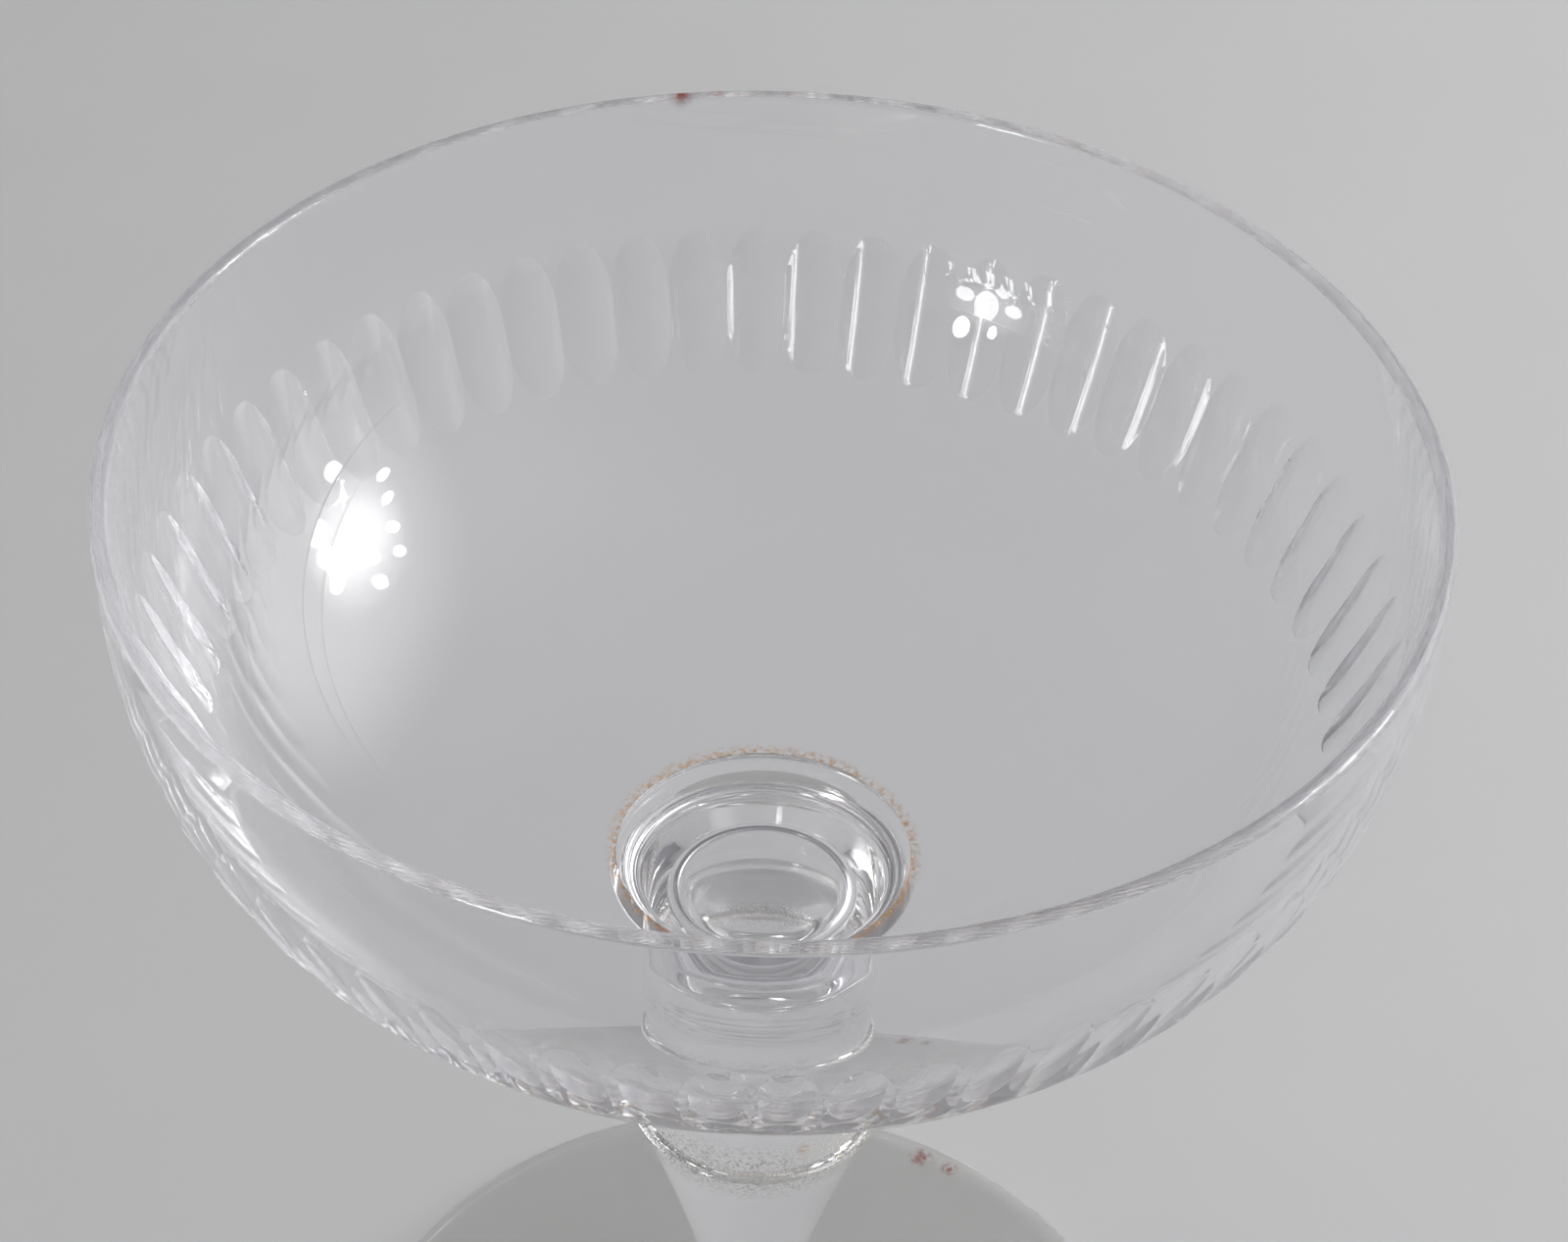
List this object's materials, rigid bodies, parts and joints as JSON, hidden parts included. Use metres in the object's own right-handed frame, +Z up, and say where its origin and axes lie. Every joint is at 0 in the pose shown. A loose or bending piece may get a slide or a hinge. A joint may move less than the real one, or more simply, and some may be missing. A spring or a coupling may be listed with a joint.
{
  "type": "champagne coupe",
  "caption": "Low stemmed champagne coupe in clear cut crystal: wide bowl with a ring of olive cuts, thin collar, short knop with a trapped bubble, tapered shank and round foot.",
  "frame": {"origin": "centre of the foot's underside, on the table", "axes": "+Z up along the glass's axis of revolution; +X lies on the ridge between two olive cuts"},
  "size_m": [0.098, 0.098, 0.1069],
  "materials": {
    "lead_crystal": "clear, fire-polished, cuts wheel-cut and polished"
  },
  "bodies": {
    "root": {"foot": "lead_crystal", "shank": "lead_crystal", "knop": "lead_crystal", "collar": "lead_crystal", "bowl": "lead_crystal"}
  },
  "joints": []
}
